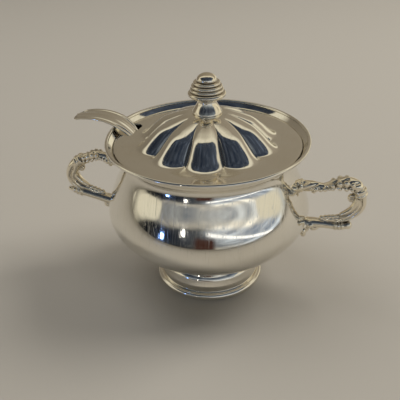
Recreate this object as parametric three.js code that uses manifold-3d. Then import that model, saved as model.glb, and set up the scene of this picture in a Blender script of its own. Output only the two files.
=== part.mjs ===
// A covered sauce pot in silver plate: a footed bowl with two scroll handles, a fluted lid
// with a turned finial, and a ladle that leaves through a notch in the lid's border.
// Millimetres, +Z up. The origin is on the pot's axis, on the surface it stands on.
// The handles lie along X, and the ladle leaves over the rim near the -X side.
import * as THREE from 'three';
import { mergeVertices } from 'three/addons/utils/BufferGeometryUtils.js';
import Module from 'manifold-3d';

const wasm = await Module();
wasm.setup();

// Space between two pieces that touch
const GAP = 0.3;

// Bowl
const BOWL_WALL = 1.2;
const BOWL_BASE_HEIGHT = 26.2;
const BELLY_RADIUS = 71.8;
const BELLY_HEIGHT = 60;
const NECK_RADIUS = 58;
const NECK_HEIGHT = 99;
const LIP_RADIUS = 68.3;
const LIP_HEIGHT = 109.9;
const RIM_WIRE_RADIUS = 1.3;

// Foot
const FOOT_NECK_RADIUS = 30;
const FOOT_BODY_RADIUS = 36.4;
const FOOT_STEP = 1;
const FOOT_WALL = 1.2;
const FOOT_RING_RADIUS = 36.8;
const FOOT_RING_WIRE = 2.9;
const FOOT_RING_FLAT = 3;

// Handles
const HANDLE_REACH = 111;
const HANDLE_CREST_HEIGHT = 89.5;
const HANDLE_BAR_HEIGHT = 53;
const HANDLE_ARM_RADIUS = 2.8;
const HANDLE_BEADS = 5;
const HANDLE_BEAD_RADIUS = 1.7;
const HANDLE_END_RADIUS = 2.5;
const HANDLE_BAND_RADIUS = 4.6;
const HANDLE_CURL_RADIUS = 2.4;
const HANDLE_PAD_RADIUS = 6.6;

// Lid
const LID_RADIUS = 64.4;
const LID_SHEET = 1;
const LID_RISE = 21;
const LOBES = 10;
const LOBE_RADIUS = 51;
const LOBE_VALLEY_RADIUS = 42;
const NOTCH_CLEARANCE = 0.6;
const NOTCH_DEPTH = 10.6;
const NOTCH_CORNER = 4;
const BEZEL_WALL = 1;
const BEZEL_DEPTH = 8;
const BEZEL_CLEARANCE = 0.6;

// Finial and its fixing
const FINIAL_RADIUS = 12.75;
const FINIAL_HEIGHT = 27;
const FINIAL_BASE_RADIUS = 9.8;
const FINIAL_RINGS = 3;
const STUD_RADIUS = 1.9;
const STUD_END = 2;
const WASHER_RADIUS = 6;
const WASHER_THICKNESS = 1.1;
const NUT_RADIUS = 4.2;
const NUT_THICKNESS = 3;

// Ladle
const LADLE_ANGLE = 172.5;
const DIPPER_RADIUS = 23;
const DIPPER_DEPTH = 18;
const DIPPER_WALL = 1.2;
const DIPPER_OFFSET = 2;
const LADLE_TIP_REACH = 36;
const LADLE_ARCH = 3.2;
const LADLE_THICKNESS = 2.2;
const LADLE_STEM_WIDTH = 6.4;
const LADLE_BLADE_WIDTH = 20.4;

// Facets
const BOWL_STEPS = 48;
const FOOT_STEPS = 36;
const FINIAL_STEPS = 24;
const DIPPER_STEPS = 28;
const LOBE_STEPS = 8;

const { degToRad, lerp, clamp } = THREE.MathUtils;
const point = (x, y) => new THREE.Vector2(x, y);

// Shared vertices merged and faces of no area dropped
function closed(geometry) {
  geometry.deleteAttribute('normal');
  geometry.deleteAttribute('uv');
  const merged = mergeVertices(geometry, 1e-4);
  const corners = merged.index.array;
  const kept = [];
  for (let i = 0; i < corners.length; i += 3) {
    const [a, b, c] = corners.slice(i, i + 3);
    if (a !== b && b !== c && c !== a) kept.push(a, b, c);
  }
  merged.setIndex(kept);
  return merged;
}

function toSolid(geometry) {
  const shape = closed(geometry);
  return new wasm.Manifold(new wasm.Mesh({
    numProp: 3,
    vertProperties: new Float32Array(shape.attributes.position.array),
    triVerts: new Uint32Array(shape.index.array),
  }));
}

function toGeometry(solid) {
  const mesh = solid.getMesh();
  const geometry = new THREE.BufferGeometry();
  geometry.setAttribute('position', new THREE.BufferAttribute(new Float32Array(mesh.vertProperties), 3));
  geometry.setIndex([...mesh.triVerts]);
  return geometry;
}

const joined = (geometries) => geometries.map(toSolid).reduce((whole, next) => whole.add(next));

// A turned solid. Its profile of (radius, height) runs up the outside and down the inside.
function turned(profile, steps) {
  return new THREE.LatheGeometry(profile, steps).rotateX(Math.PI / 2);
}

// A line that runs up the outside, moved towards the axis by a wall, from its top down
function innerLine(line, wall) {
  return line.map((spot, i) => {
    const ahead = line[Math.min(i + 1, line.length - 1)];
    const behind = line[Math.max(i - 1, 0)];
    const along = ahead.clone().sub(behind).normalize();
    return point(spot.x - along.y * wall, spot.y + along.x * wall);
  }).reverse();
}

const curveThrough = (spots) => {
  return new THREE.CatmullRomCurve3(spots.map((spot) => new THREE.Vector3(spot.x, 0, spot.y)));
};

// A bar bent along spots in the XZ plane. section(t) gives its half thickness in that plane
// and its half width across it, with t from 0 at the first spot to 1 at the last.
function bentBar(spots, section, sides, steps) {
  const curve = curveThrough(spots);
  const bar = new THREE.CylinderGeometry(1, 1, 1, sides, steps);
  const place = bar.attributes.position;
  const across = new THREE.Vector3(0, 1, 0);
  for (let i = 0; i < place.count; i++) {
    const t = clamp(place.getY(i) + 0.5, 0, 1);
    const [thick, wide] = section(t);
    const normal = curve.getTangent(t).cross(across).normalize();
    const spot = curve.getPoint(t)
      .addScaledVector(normal, place.getX(i) * thick)
      .addScaledVector(across, place.getZ(i) * wide);
    place.setXYZ(i, spot.x, spot.y, spot.z);
  }
  return bar;
}

// Values spread evenly along a bar, read at t
function along(values, t) {
  const place = t * (values.length - 1);
  const i = Math.min(Math.floor(place), values.length - 2);
  return lerp(values[i], values[i + 1], place - i);
}

function ball(radius, spot, y = 0, scale = [1, 1, 1]) {
  return new THREE.OctahedronGeometry(radius, 1).scale(...scale).translate(spot.x, y, spot.y);
}

// Bowl: under the belly, over the shoulder to the neck, and out to the lip
function bowlLine() {
  const base = point(FOOT_NECK_RADIUS, BOWL_BASE_HEIGHT);
  const belly = point(BELLY_RADIUS, BELLY_HEIGHT);
  const neck = point(NECK_RADIUS, NECK_HEIGHT);
  const lip = point(LIP_RADIUS, LIP_HEIGHT);
  const flare = lip.clone().sub(neck);
  const shoulder = neck.y - belly.y;
  const under = new THREE.CubicBezierCurve(
    base, point(lerp(base.x, belly.x, 0.44), base.y), point(belly.x, lerp(base.y, belly.y, 0.56)), belly);
  const upper = new THREE.CubicBezierCurve(
    belly, point(belly.x, belly.y + 0.25 * shoulder), point(neck.x, neck.y - 0.12 * shoulder), neck);
  const throat = new THREE.CubicBezierCurve(
    neck, point(neck.x, neck.y + 0.3 * flare.y), point(lip.x - 0.5 * flare.x, lip.y - 0.55 * flare.y), lip);
  return [
    ...under.getPoints(6),
    ...upper.getPoints(8).slice(1),
    ...throat.getPoints(5).slice(1),
  ];
}

const bowlOuter = bowlLine();
const bowlInner = innerLine(bowlOuter, BOWL_WALL);
const bowlFloor = BOWL_BASE_HEIGHT + BOWL_WALL;

function bowl() {
  return turned([
    point(0, BOWL_BASE_HEIGHT), ...bowlOuter, ...bowlInner.slice(0, -1),
    point(FOOT_NECK_RADIUS, bowlFloor), point(0, bowlFloor),
  ], BOWL_STEPS);
}

// The outside radius of the bowl at a height
function bowlRadius(height) {
  const i = Math.max(bowlOuter.findIndex((spot) => spot.y >= height), 1);
  const [low, high] = [bowlOuter[i - 1], bowlOuter[i]];
  return lerp(low.x, high.x, (height - low.y) / (high.y - low.y));
}

// The height of the flared inside of the lip at a radius
function lipHeight(radius) {
  const i = Math.max(bowlInner.findIndex((spot) => spot.x <= radius), 1);
  const [high, low] = [bowlInner[i - 1], bowlInner[i]];
  return lerp(low.y, high.y, (radius - low.x) / (high.x - low.x));
}

// The rim wire sits on the edge of the lip, in line with its wall
const lipDirection = bowlOuter.at(-1).clone().sub(bowlOuter.at(-2)).normalize();
const lipEdge = bowlOuter.at(-1).clone().add(bowlInner[0]).multiplyScalar(0.5);
const rim = lipEdge.clone().addScaledVector(lipDirection, RIM_WIRE_RADIUS + GAP);

function rimWire() {
  const section = new THREE.Path().absarc(rim.x, rim.y, RIM_WIRE_RADIUS, 0, 2 * Math.PI);
  return turned(section.getPoints(4), BOWL_STEPS);
}

// Foot: a hollow spun stem that opens down to a rounded ring with a flat underside
function foot() {
  const top = BOWL_BASE_HEIGHT - GAP;
  const bottom = 2 * FOOT_RING_WIRE + GAP;
  const at = (share) => lerp(bottom, top, share);
  const shelf = FOOT_BODY_RADIUS - FOOT_STEP;
  const waist = new THREE.CubicBezierCurve(
    point(shelf, at(0.36)), point(shelf, at(0.6)),
    point(FOOT_NECK_RADIUS, at(0.6)), point(FOOT_NECK_RADIUS, top));
  const outer = [point(FOOT_BODY_RADIUS, bottom), point(FOOT_BODY_RADIUS, at(0.24)), ...waist.getPoints(5)];
  const inner = innerLine(outer, FOOT_WALL);
  inner[0].y = top;
  inner.at(-1).y = bottom;
  return turned([...outer, ...inner, outer[0]], FOOT_STEPS);
}

function footRing() {
  const half = FOOT_RING_FLAT / 2;
  const corner = Math.asin(half / FOOT_RING_WIRE);
  const section = new THREE.Path();
  section.moveTo(FOOT_RING_RADIUS - half, 0);
  section.lineTo(FOOT_RING_RADIUS + half, 0);
  section.absarc(
    FOOT_RING_RADIUS, FOOT_RING_WIRE, FOOT_RING_WIRE, corner - 0.3 * Math.PI, 1.3 * Math.PI - corner);
  section.closePath();
  return turned(section.getPoints(4), FOOT_STEPS);
}

// Handle: drawn on the +X side in the XZ plane, then trimmed to the bowl it is soldered to.
// u runs from the bowl's side out to the handle's reach, v from its bar up to its crest.
const handleSide = bowlRadius(lerp(HANDLE_BAR_HEIGHT, HANDLE_CREST_HEIGHT, 0.3));
const spot = (u, v) => point(
  lerp(handleSide, HANDLE_REACH, u), lerp(HANDLE_BAR_HEIGHT, HANDLE_CREST_HEIGHT, v));
const onBowl = (v) => point(bowlRadius(spot(0, v).y), spot(0, v).y);
const inBowl = (v) => onBowl(v).sub(point(2 * BOWL_WALL, 0));

// Both castings have the same parts. The left one's upper arm stands higher where it meets the
// bowl, its band sits farther in, and its bar runs out past the scroll to a pointed leaf.
const rightHandle = {
  root: 0.76,
  scroll: [
    inBowl(0.78), spot(0.05, 0.8), spot(0.25, 0.81), spot(0.44, 0.9), spot(0.62, 0.93),
    spot(0.78, 0.88), spot(0.85, 0.76), spot(0.885, 0.62), spot(0.885, 0.48), spot(0.81, 0.33),
    spot(0.675, 0.2), spot(0.5, 0.13), spot(0.34, 0.11), spot(0.18, 0.07),
  ],
  band: [spot(0.835, 0.82), spot(0.87, 0.71)],
  strand: [spot(0.83, 0.66), spot(0.76, 0.46), spot(0.66, 0.37), spot(0.46, 0.32)],
  curl: spot(0.725, 0.62),
  bar: [inBowl(-0.05), spot(0.06, 0), spot(0.3, 0.01), spot(0.52, 0), spot(0.7, 0.03)],
  barShares: [1.1, 0.85, 0.75, 0.7, 0.6],
  lobes: [0.14],
};
const leftHandle = {
  root: 0.9,
  scroll: [
    inBowl(0.9), spot(0.04, 0.93), spot(0.18, 1), spot(0.32, 1.01), spot(0.46, 0.96),
    spot(0.6, 0.9), spot(0.71, 0.82), spot(0.8, 0.69), spot(0.86, 0.54), spot(0.84, 0.38),
    spot(0.74, 0.26), spot(0.56, 0.2), spot(0.38, 0.16), spot(0.2, 0.1),
  ],
  band: [spot(0.6, 0.9), spot(0.71, 0.82)],
  strand: [spot(0.82, 0.66), spot(0.78, 0.48), spot(0.68, 0.41), spot(0.52, 0.4)],
  curl: spot(0.66, 0.69),
  bar: [inBowl(-0.05), spot(0.1, 0.01), spot(0.4, 0.08), spot(0.72, 0.15), spot(0.94, 0.17)],
  barShares: [1.1, 0.85, 0.8, 0.95, 0.4],
  lobes: [0.12, 0.22, 0.32],
};
const scrollShares = [1.2, 1, 0.95, 1.2, 1.5, 1.45, 1.35, 1.15, 1, 0.95, 0.85, 0.65, 0.5, 0.4];

// A round arm, its thickness along it given as shares of the handle's own
const arm = (spots, shares, width, steps) => bentBar(spots, (t) => {
  const radius = HANDLE_ARM_RADIUS * along(shares, t);
  return [radius, radius * width];
}, 8, steps);

// A place on the middle line of an arm, t of the way along it, moved up by a share of its radius
function overArm(spots, shares, t, share) {
  const place = curveThrough(spots).getPoint(t);
  return point(place.x, place.z + share * HANDLE_ARM_RADIUS * along(shares, t));
}

// Beads sunk in an arm, raised over its middle line by a share of its radius, and set at the
// given places across it
function beads(spots, shares, from, to, raise, across) {
  const turns = Array.from({ length: HANDLE_BEADS }, (_, i) => lerp(from, to, i / (HANDLE_BEADS - 1)));
  return turns.flatMap((t) => across.map((y) => {
    return ball(HANDLE_BEAD_RADIUS, overArm(spots, shares, t, raise), y * HANDLE_ARM_RADIUS);
  }));
}

// Lobes of a leaf in pairs over the crest of the scroll
const crestLeaf = (scroll) => [0.23, 0.31, 0.38].flatMap((t) => [-1.1, 1.1].map((y) => {
  return ball(HANDLE_ARM_RADIUS, overArm(scroll, scrollShares, t, 0.4), y * HANDLE_ARM_RADIUS, [1, 0.7, 0.8]);
}));

function handle({ root, scroll, band, strand, curl, bar, barShares, lobes }) {
  const ring = new THREE.TorusGeometry(HANDLE_CURL_RADIUS, 0.55 * HANDLE_CURL_RADIUS, 5, 10);
  const keepOut = turned([
    point(0, BOWL_BASE_HEIGHT - GAP), ...innerLine(bowlOuter, -GAP).reverse(), point(0, LIP_HEIGHT),
  ], BOWL_STEPS);
  const cast = joined([
    arm(scroll, scrollShares, 1.1, 24),
    arm(bar, barShares, 1.3, 6),
    arm(strand, [0.6, 0.5, 0.45, 0.3], 1.2, 6),
    bentBar(band, () => [HANDLE_BAND_RADIUS, 1.05 * HANDLE_BAND_RADIUS], 12, 1),
    ring.rotateX(Math.PI / 2).translate(curl.x, 0, curl.y),
    ...crestLeaf(scroll),
    ...beads(scroll, scrollShares, 0.1, 0.22, -0.5, [-0.7, 0.7]),
    ...beads(scroll, scrollShares, 0.84, 0.97, 1.2, [0]),
    ...lobes.map((t) => ball(HANDLE_END_RADIUS, overArm(bar, barShares, t, -1.7))),
    ball(HANDLE_END_RADIUS * barShares.at(-1) / 0.6, bar.at(-1)),
    ...[-1.3, -1.9].map((raise) => ball(HANDLE_BEAD_RADIUS, overArm(scroll, scrollShares, 0.085, raise))),
    ball(HANDLE_PAD_RADIUS, onBowl(root), 0, [0.8, 1.1, 1.15]),
    ball(HANDLE_PAD_RADIUS, onBowl(-0.08), 0, [0.75, 1.15, 1.1]),
  ]);
  return toGeometry(cast.subtract(toSolid(keepOut)));
}

// Lid: a fluted dome inside a flat border that rests in the flare of the lip
const lidUnderside = lipHeight(LID_RADIUS) + GAP;
const lidBorder = lidUnderside + LID_SHEET;
const lidTop = lidBorder + LID_RISE;
const lobeStart = FINIAL_BASE_RADIUS + 1;
const studHole = STUD_RADIUS + GAP;

// Share of the lid's rise along a lobe's ridge and along the crease between two lobes,
// against the share of the way from the finial to the lobe's end
const ridgeLine = new THREE.SplineCurve([
  point(0, 1), point(0.1, 0.98), point(0.24, 0.9), point(0.4, 0.78), point(0.55, 0.64),
  point(0.7, 0.41), point(0.84, 0.16), point(0.94, 0.04), point(1, 0),
]);
const creaseLine = new THREE.SplineCurve([
  point(0, 1), point(0.1, 0.93), point(0.24, 0.81), point(0.4, 0.69), point(0.55, 0.55),
  point(0.7, 0.35), point(0.84, 0.14), point(0.94, 0.03), point(1, 0),
]);

// A point (radius, height) of the fluted dome, t of the way down, at an angle
function fluted(t, angle) {
  const ridge = Math.abs(Math.cos(0.5 * LOBES * (angle - degToRad(LADLE_ANGLE)))) ** 0.7;
  const down = ridgeLine.getPoint(t);
  const crease = creaseLine.getPoint(t);
  const end = lerp(LOBE_VALLEY_RADIUS, LOBE_RADIUS, ridge);
  return point(lerp(lobeStart, end, down.x), lidBorder + LID_RISE * lerp(crease.y, down.y, ridge));
}

function notchCutter() {
  const half = LADLE_BLADE_WIDTH / 2 + NOTCH_CLEARANCE;
  const inner = LID_RADIUS - NOTCH_DEPTH;
  const outer = LID_RADIUS + NOTCH_CORNER;
  const plan = new THREE.Shape();
  plan.moveTo(outer, -half);
  plan.lineTo(outer, half);
  plan.lineTo(inner + NOTCH_CORNER, half);
  plan.absarc(inner + NOTCH_CORNER, half - NOTCH_CORNER, NOTCH_CORNER, 0.5 * Math.PI, Math.PI);
  plan.absarc(inner + NOTCH_CORNER, NOTCH_CORNER - half, NOTCH_CORNER, Math.PI, 1.5 * Math.PI);
  plan.closePath();
  const depth = BEZEL_DEPTH + LID_RISE;
  return new THREE.ExtrudeGeometry(plan, { depth, bevelEnabled: false, curveSegments: 5 })
    .translate(0, 0, lidBorder + GAP - depth)
    .rotateZ(degToRad(LADLE_ANGLE));
}

// Each column of the lid runs out along the underside, up the edge and back over the top
function lidCover() {
  const steps = (count) => Array.from({ length: count + 1 }, (_, i) => i / count);
  const under = point(-0.8 * LID_SHEET, -LID_SHEET);
  const column = (angle) => [
    point(studHole, lidTop - LID_SHEET),
    ...steps(6).map((t) => fluted(t, angle).add(under)),
    point(LID_RADIUS, lidUnderside),
    point(LID_RADIUS, lidBorder),
    ...steps(12).map((t) => fluted(1 - t, angle)),
    point(studHole, lidTop),
    point(studHole, lidTop - LID_SHEET),
  ];
  const turns = LOBES * LOBE_STEPS;
  const rows = column(0).length;
  const cover = new THREE.LatheGeometry(column(0), turns);
  const place = cover.attributes.position;
  for (let i = 0; i < place.count; i++) {
    const turn = Math.floor(i / rows) % turns;
    const angle = degToRad(LADLE_ANGLE) + (2 * Math.PI * turn) / turns;
    const p = column(angle)[i % rows];
    place.setXYZ(i, p.x * Math.cos(angle), p.x * Math.sin(angle), p.y);
  }
  return toGeometry(toSolid(cover).subtract(toSolid(notchCutter())));
}

// The bezel hangs from the border inside the bowl's neck and is cut away at the notch
function bezel() {
  const outer = NECK_RADIUS - BOWL_WALL - BEZEL_CLEARANCE;
  const top = lidUnderside - GAP;
  const hoop = turned([
    point(outer, top - BEZEL_DEPTH), point(outer, top), point(outer - BEZEL_WALL, top),
    point(outer - BEZEL_WALL, top - BEZEL_DEPTH), point(outer, top - BEZEL_DEPTH),
  ], BOWL_STEPS);
  return toGeometry(toSolid(hoop).subtract(toSolid(notchCutter())));
}

// Finial: a turned bell, a wide disc, small rings and a domed cap, in one piece with its stud
const washerTop = lidTop - LID_SHEET - GAP;
const nutTop = washerTop - WASHER_THICKNESS - GAP;

function finial() {
  const seat = lidTop + GAP;
  const at = (r, h) => point(FINIAL_RADIUS * r, seat + FINIAL_HEIGHT * h);
  const bell = new THREE.SplineCurve([
    point(FINIAL_BASE_RADIUS, seat), at(0.785, 0.03), at(0.71, 0.1), at(0.56, 0.215),
    at(0.49, 0.31), at(0.54, 0.37),
  ]);
  const rings = Array.from({ length: FINIAL_RINGS }, (_, i) => {
    const share = i / FINIAL_RINGS;
    const radius = lerp(0.88, 0.58, share ** 1.4);
    const low = lerp(0.545, 0.8, share);
    const high = lerp(0.545, 0.8, share + 1 / FINIAL_RINGS);
    return [
      at(radius - 0.07, low), at(radius, lerp(low, high, 0.35)), at(radius - 0.02, lerp(low, high, 0.75)),
    ];
  }).flat();
  const cap = new THREE.EllipseCurve(0, seat + 0.825 * FINIAL_HEIGHT,
    0.533 * FINIAL_RADIUS, 0.175 * FINIAL_HEIGHT, 0, 0.5 * Math.PI).getPoints(4);
  const end = nutTop - NUT_THICKNESS - STUD_END;
  const crown = point(0, seat + FINIAL_HEIGHT);
  return turned([
    point(0, end), point(STUD_RADIUS, end), point(STUD_RADIUS, seat), ...bell.getPoints(8),
    at(0.93, 0.435), at(1, 0.49), at(0.95, 0.53), ...rings, at(0.48, 0.8), ...cap.slice(0, -1), crown,
  ], FINIAL_STEPS);
}

function washer() {
  return turned([
    point(WASHER_RADIUS, washerTop - WASHER_THICKNESS), point(WASHER_RADIUS, washerTop),
    point(studHole, washerTop), point(studHole, washerTop - WASHER_THICKNESS),
    point(WASHER_RADIUS, washerTop - WASHER_THICKNESS),
  ], FINIAL_STEPS);
}

function nut() {
  const corners = Array.from({ length: 6 }, (_, i) => {
    return point(NUT_RADIUS, 0).rotateAround(point(0, 0), (i * Math.PI) / 3);
  });
  const plan = new THREE.Shape(corners);
  plan.holes.push(new THREE.Path().absarc(0, 0, studHole, 0, 2 * Math.PI));
  return new THREE.ExtrudeGeometry(plan, { depth: NUT_THICKNESS, bevelEnabled: false })
    .translate(0, 0, nutTop - NUT_THICKNESS);
}

// Ladle: drawn in the XZ plane with its tip towards +X, resting on the floor and on the rim
function ladle() {
  const lip = bowlFloor + GAP + DIPPER_DEPTH;
  const cup = new THREE.Path();
  cup.absellipse(0, lip, DIPPER_RADIUS, DIPPER_DEPTH, -0.5 * Math.PI, 0);
  cup.absellipse(0, lip, DIPPER_RADIUS - DIPPER_WALL, DIPPER_DEPTH - DIPPER_WALL, 0, -0.5 * Math.PI, true);
  const profile = cup.getPoints(6);
  profile[0].x = 0;
  profile.at(-1).x = 0;
  const dipper = turned(profile, DIPPER_STEPS).translate(DIPPER_OFFSET, 0, 0);
  const side = DIPPER_OFFSET + DIPPER_RADIUS - 0.5 * DIPPER_WALL;
  const half = LADLE_THICKNESS / 2;
  const lean = degToRad(20);
  const clear = RIM_WIRE_RADIUS + GAP + half + 0.1;
  const rest = point(rim.x - clear * Math.sin(lean), rim.y + clear * Math.cos(lean));
  const mouth = point(LID_RADIUS - 0.6 * NOTCH_DEPTH, lidBorder - 1.5);
  const tip = rim.x + LADLE_TIP_REACH;
  const path = [
    point(side, lip - 4), point(side + 1.5, lip + 3),
    point(lerp(side, mouth.x, 0.33), lerp(lip, mouth.y, 0.36)),
    point(lerp(side, mouth.x, 0.66), lerp(lip, mouth.y, 0.69)),
    mouth,
    rest,
    point(lerp(rest.x, tip, 0.33), rest.y + LADLE_ARCH * 0.85),
    point(lerp(rest.x, tip, 0.66), rest.y + LADLE_ARCH * 0.75),
    point(tip, rest.y - LADLE_ARCH),
  ];
  const shares = [0, 0, 0.03, 0.2, 0.56, 0.94, 1, 0.82, 0.5];
  const widths = shares.map((share) => lerp(LADLE_STEM_WIDTH, LADLE_BLADE_WIDTH, share) / 2);
  const strip = bentBar(path, (t) => {
    const fade = Math.sqrt(Math.max(1 - (clamp(t - 0.93, 0, 1) / 0.07) ** 2, 0.05));
    return [half, along(widths, t) * fade];
  }, 8, 28);
  return toGeometry(joined([dipper, strip])).rotateZ(degToRad(LADLE_ANGLE));
}

// Finishes
const finish = (color, roughness) => new THREE.MeshStandardMaterial({ color, roughness, metalness: 1 });
const spun = () => finish(0xe6ddcc, 0.14);
const cast = () => finish(0xd8cdb8, 0.22);
const fixing = () => finish(0xb9a26a, 0.35);

const pot = new THREE.Group();
function add(name, geometry, material, turn = 0) {
  const mesh = new THREE.Mesh(geometry, material);
  mesh.name = name;
  mesh.rotation.z = turn;
  pot.add(mesh);
}

add('bowl', bowl(), spun());
add('rim_wire', rimWire(), spun());
add('foot', foot(), spun());
add('foot_ring', footRing(), spun());
add('handle_right', handle(rightHandle), cast());
add('handle_left', handle(leftHandle), cast(), Math.PI);
add('lid_cover', lidCover(), spun());
add('lid_bezel', bezel(), spun());
add('finial', finial(), cast());
add('finial_washer', washer(), fixing());
add('finial_nut', nut(), fixing());
add('ladle', ladle(), spun());

export default pot;
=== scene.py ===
"""A covered sauce pot in silver plate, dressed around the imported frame.

Sizes are in millimetres, on the part's own axes, and become metres where a mesh is made.
"""

import math

import bmesh
import bpy
import numpy as np
from mathutils import Matrix, Vector


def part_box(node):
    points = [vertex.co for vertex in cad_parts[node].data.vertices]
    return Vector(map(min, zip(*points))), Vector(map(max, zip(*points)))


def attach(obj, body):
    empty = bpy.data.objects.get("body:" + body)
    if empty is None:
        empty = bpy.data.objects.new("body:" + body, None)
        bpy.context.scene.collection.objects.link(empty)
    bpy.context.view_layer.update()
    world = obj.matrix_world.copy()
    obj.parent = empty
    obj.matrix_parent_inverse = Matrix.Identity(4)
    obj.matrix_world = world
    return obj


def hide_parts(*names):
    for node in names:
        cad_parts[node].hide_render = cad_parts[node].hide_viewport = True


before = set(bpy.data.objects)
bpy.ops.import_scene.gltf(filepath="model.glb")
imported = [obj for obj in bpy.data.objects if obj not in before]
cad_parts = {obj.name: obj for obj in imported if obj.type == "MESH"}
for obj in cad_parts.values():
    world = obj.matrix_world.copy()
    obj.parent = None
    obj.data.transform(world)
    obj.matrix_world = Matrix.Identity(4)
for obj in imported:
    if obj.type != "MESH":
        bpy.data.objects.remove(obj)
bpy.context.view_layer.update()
scene = bpy.context.scene
MM = 0.001

# The driving sizes of the part
GAP = 0.3
BOWL_WALL = 1.2
BOWL_BASE_HEIGHT = 26.2
BELLY_RADIUS = 71.8
BELLY_HEIGHT = 60
NECK_RADIUS = 58
NECK_HEIGHT = 99
LIP_RADIUS = 68.3
LIP_HEIGHT = 109.9
RIM_WIRE_RADIUS = 1.3
FOOT_NECK_RADIUS = 30
FOOT_BODY_RADIUS = 36.4
FOOT_STEP = 1
FOOT_WALL = 1.2
FOOT_RING_RADIUS = 36.8
FOOT_RING_WIRE = 2.9
FOOT_RING_FLAT = 3
HANDLE_REACH = 111
HANDLE_CREST_HEIGHT = 89.5
HANDLE_BAR_HEIGHT = 53
HANDLE_ARM_RADIUS = 2.8
HANDLE_BEADS = 5
HANDLE_BEAD_RADIUS = 1.7
HANDLE_END_RADIUS = 2.5
HANDLE_BAND_RADIUS = 4.6
HANDLE_CURL_RADIUS = 2.4
HANDLE_PAD_RADIUS = 6.6
LID_RADIUS = 64.4
LID_SHEET = 1
LID_RISE = 21
LOBES = 10
LOBE_RADIUS = 51
LOBE_VALLEY_RADIUS = 42
NOTCH_CLEARANCE = 0.6
NOTCH_DEPTH = 10.6
NOTCH_CORNER = 4
CUTTER_MARGIN = 4
BEZEL_WALL = 1
BEZEL_DEPTH = 8
BEZEL_CLEARANCE = 0.6
FINIAL_RADIUS = 12.75
FINIAL_HEIGHT = 27
FINIAL_BASE_RADIUS = 9.8
FINIAL_RINGS = 3
STUD_RADIUS = 1.9
STUD_END = 2
WASHER_THICKNESS = 1.1
NUT_THICKNESS = 3
LADLE_ANGLE = math.radians(172.5)
DIPPER_RADIUS = 23
DIPPER_DEPTH = 18
DIPPER_WALL = 1.2
DIPPER_OFFSET = 2
LADLE_TIP_REACH = 36
LADLE_ARCH = 3.2
LADLE_THICKNESS = 2.2
LADLE_STEM_WIDTH = 6.4
LADLE_BLADE_WIDTH = 20.4
LADLE_LEAN = math.radians(20)
LADLE_REST_CLEARANCE = 0.1
LADLE_TIP_BACK = 2.5

# How full the bowl's curves are, as shares of what they span
UNDER_REACH, UNDER_RISE = 0.44, 0.56
SHOULDER_RISE, SHOULDER_DROP = 0.25, 0.12
THROAT_RISE, THROAT_INSET, THROAT_DROP = 0.3, 0.5, 0.55

# Heights on the foot's stem, as shares of it
FOOT_BODY_TOP, FOOT_SHELF, FOOT_WAIST = 0.24, 0.36, 0.6

# How far sheet runs into the wire that closes it
LIP_SEAM = 0.6
FOOT_SEAM = 0.4

# Rounded edges
FOOT_STEP_ROUND = 0.9
LID_EDGE_ROUND = 0.35
BEZEL_EDGE_ROUND = 0.3

# Mesh fineness
TURN_STEPS = 192
WIRE_TURN_STEPS = 256
SMALL_TURN_STEPS = 96
WIRE_SIDES = 20
CURVE_STEPS = 40
THROAT_STEPS = 24
WAIST_STEPS = 30
CORNER_STEPS = 6
LOBE_STEPS = 28
DOME_POINTS = 60
DOME_INSIDE_POINTS = 12
NOTCH_CORNER_POINTS = 12
CASTING_VOXEL = 0.3
CASTING_SMOOTHINGS = 3
CASTING_SINK = 0.25
SHARP_ANGLE = math.radians(38)
CASTING_SHARP_ANGLE = math.radians(80)

# The camera, in the frame turned about the pot so that it stands in front
CAMERA_AZIMUTH = math.radians(14)
CAMERA_BACK = 384.3
CAMERA_HEIGHT = 287.4
CAMERA_PITCH = math.radians(-30.39)
CAMERA_YAW = math.radians(0.935)
CAMERA_ROLL = math.radians(-1.40)
CAMERA_LENS = 55.35
CAMERA_SENSOR = 36


def lerp(a, b, t):
    return a + (b - a) * t


def clamp(value, low, high):
    return max(low, min(high, value))


def smoothstep(low, high, value):
    t = np.clip((value - low) / (high - low), 0, 1)
    return t * t * (3 - 2 * t)


def unit(v):
    return v / np.linalg.norm(v)


def bezier(points, count):
    """Points along a cubic curve, ends included."""
    a, b, c, d = (np.array(p, float) for p in points)
    t = np.linspace(0, 1, count + 1)[:, None]
    return (1 - t) ** 3 * a + 3 * (1 - t) ** 2 * t * b + 3 * (1 - t) * t**2 * c + t**3 * d


def through(points, t):
    """A point on the smooth line through the given points, t of the way along it."""
    p = np.array(points, float)
    place = clamp(t, 0, 1) * (len(p) - 1)
    i = min(int(place), len(p) - 2)
    w = place - i
    p1, p2 = p[i], p[i + 1]
    p0 = p[i - 1] if i else 2 * p1 - p2
    p3 = p[i + 2] if i + 2 < len(p) else 2 * p2 - p1
    d0, d1, d2 = (np.linalg.norm(b - a) ** 0.5 for a, b in ((p0, p1), (p1, p2), (p2, p3)))
    m1 = ((p1 - p0) / d0 - (p2 - p0) / (d0 + d1) + (p2 - p1) / d1) * d1
    m2 = ((p2 - p1) / d1 - (p3 - p1) / (d1 + d2) + (p3 - p2) / d2) * d1
    return p1 + m1 * w + (3 * (p2 - p1) - 2 * m1 - m2) * w**2 + (2 * (p1 - p2) + m1 + m2) * w**3


def heading(points, t, reach=0.01):
    """From the point a little before t to the point a little after it."""
    return through(points, t + reach) - through(points, t - reach)


def eased(points, t):
    """A point on an evenly weighted smooth line through the given points."""
    p = np.array(points, float)
    place = clamp(t, 0, 1) * (len(p) - 1)
    i = min(int(place), len(p) - 2)
    w = place - i
    p0, p1, p2, p3 = (p[clamp(k, 0, len(p) - 1)] for k in range(i - 1, i + 3))
    m1, m2 = (p2 - p0) / 2, (p3 - p1) / 2
    return p1 + m1 * w + (3 * (p2 - p1) - 2 * m1 - m2) * w**2 + (2 * (p1 - p2) + m1 + m2) * w**3


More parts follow.
